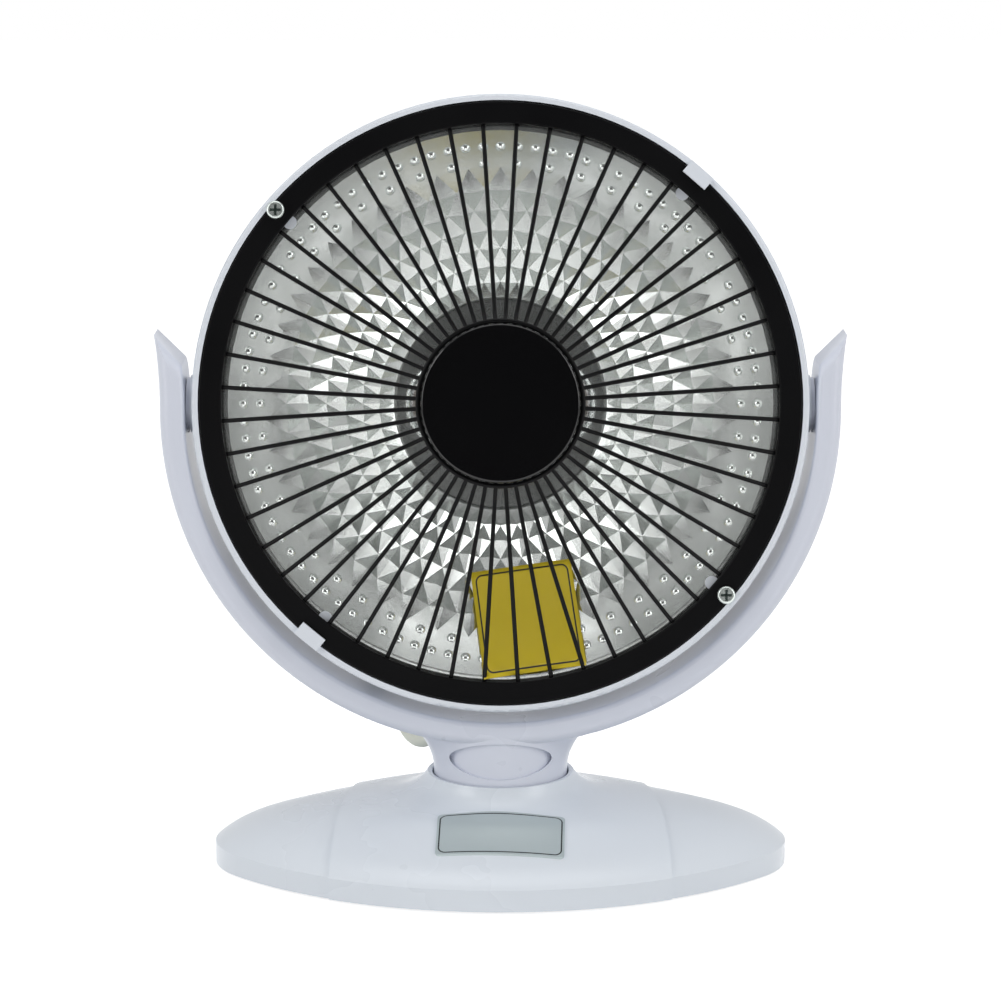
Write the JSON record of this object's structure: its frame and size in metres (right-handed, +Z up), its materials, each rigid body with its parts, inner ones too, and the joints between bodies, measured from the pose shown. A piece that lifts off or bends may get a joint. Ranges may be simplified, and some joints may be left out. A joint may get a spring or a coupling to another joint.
{
  "type": "desk heater",
  "caption": "Small radiant dish heater: faceted bowl reflector behind a flat wire guard, held in a crescent yoke on a leaf-shaped weighted base; it tilts and swivels.",
  "frame": {"origin": "on the table under the middle of the base, on the swivel axis", "axes": "+Z up, the dish faces -Y (towards the viewer), +X to the viewer's right"},
  "size_m": [0.2138, 0.1154, 0.244],
  "materials": {
    "white_shell": "smooth, slightly blue-grey white",
    "grey_plastic": "fine texture",
    "black_enamel": "satin black enamel",
    "black_disc": "gloss black enamel",
    "polished_aluminium": "polished, pressed pattern",
    "clear_quartz": "clear",
    "resistance_wire": "oxidised",
    "ceramic": "unglazed",
    "zinc_steel": "bright zinc",
    "steel": "plain",
    "black_plastic": "smooth",
    "yellow_label": "printed film",
    "silver_plate": "satin foil",
    "dark_rubber": "soft",
    "iron": "raw",
    "cream_sleeve": "matt silicone",
    "natural_nylon": "smooth"
  },
  "bodies": {
    "base": {"base_top": "white_shell", "base_bottom": "grey_plastic", "rubber_feet": "dark_rubber", "base_screws": "zinc_steel", "ballast_plate": "iron", "ballast_screws": "zinc_steel", "tip_switch": "black_plastic", "inlet_bush": "dark_rubber", "cable_clamp": "grey_plastic", "rating_plate": "silver_plate"},
    "yoke": {"yoke_front": "white_shell", "yoke_rear": "white_shell", "yoke_screws": "zinc_steel", "pivot_pins": "steel", "friction_washers": "natural_nylon", "swivel_washer": "natural_nylon", "swivel_nut": "steel", "neck_grommet": "white_shell", "head_lead": "cream_sleeve"},
    "head": {"head_shell": "white_shell", "guard_ring": "black_enamel", "guard_wires": "black_enamel", "guard_disc": "black_disc", "disc_clamp": "black_enamel", "disc_nut": "zinc_steel", "guard_screws": "zinc_steel", "reflector": "polished_aluminium", "dish_sticker": "yellow_label", "quartz_tube": "clear_quartz", "heating_filament": "resistance_wire", "tube_caps": "ceramic", "element_bracket": "steel", "element_holder": "ceramic", "element_screws": "zinc_steel", "thermal_cutout": "black_plastic", "terminal_block": "natural_nylon", "back_cover": "white_shell", "cover_screws": "zinc_steel", "switch_body": "black_plastic", "hood_grommet": "white_shell"},
    "rocker": {"switch_rocker": "black_plastic"},
    "plunger": {"tip_plunger": "natural_nylon"}
  },
  "joints": [
    {"name": "yoke_swivel", "type": "hinge", "parent": "base", "child": "yoke", "pos_m": [0, 0, 0.024], "axis": [0, 0, 1], "range_deg": [-45, 45]},
    {"name": "head_tilt", "type": "hinge", "parent": "yoke", "child": "head", "pos_m": [0, 0, 0.148], "axis": [-1, 0, 0], "range_deg": [-20, 20], "deforming": ["head_lead"]},
    {"name": "switch_rock", "type": "hinge", "parent": "head", "child": "rocker", "pos_m": [0, 0.04792, 0.16533], "axis": [1, 0, 0], "range_deg": [-18, 0]},
    {"name": "tip_plunge", "type": "slide", "parent": "base", "child": "plunger", "axis": [0, 0, 1], "range_m": [-0.003, 0], "stiffness_N_per_m": 100, "springref_m": -0.01}
  ]
}
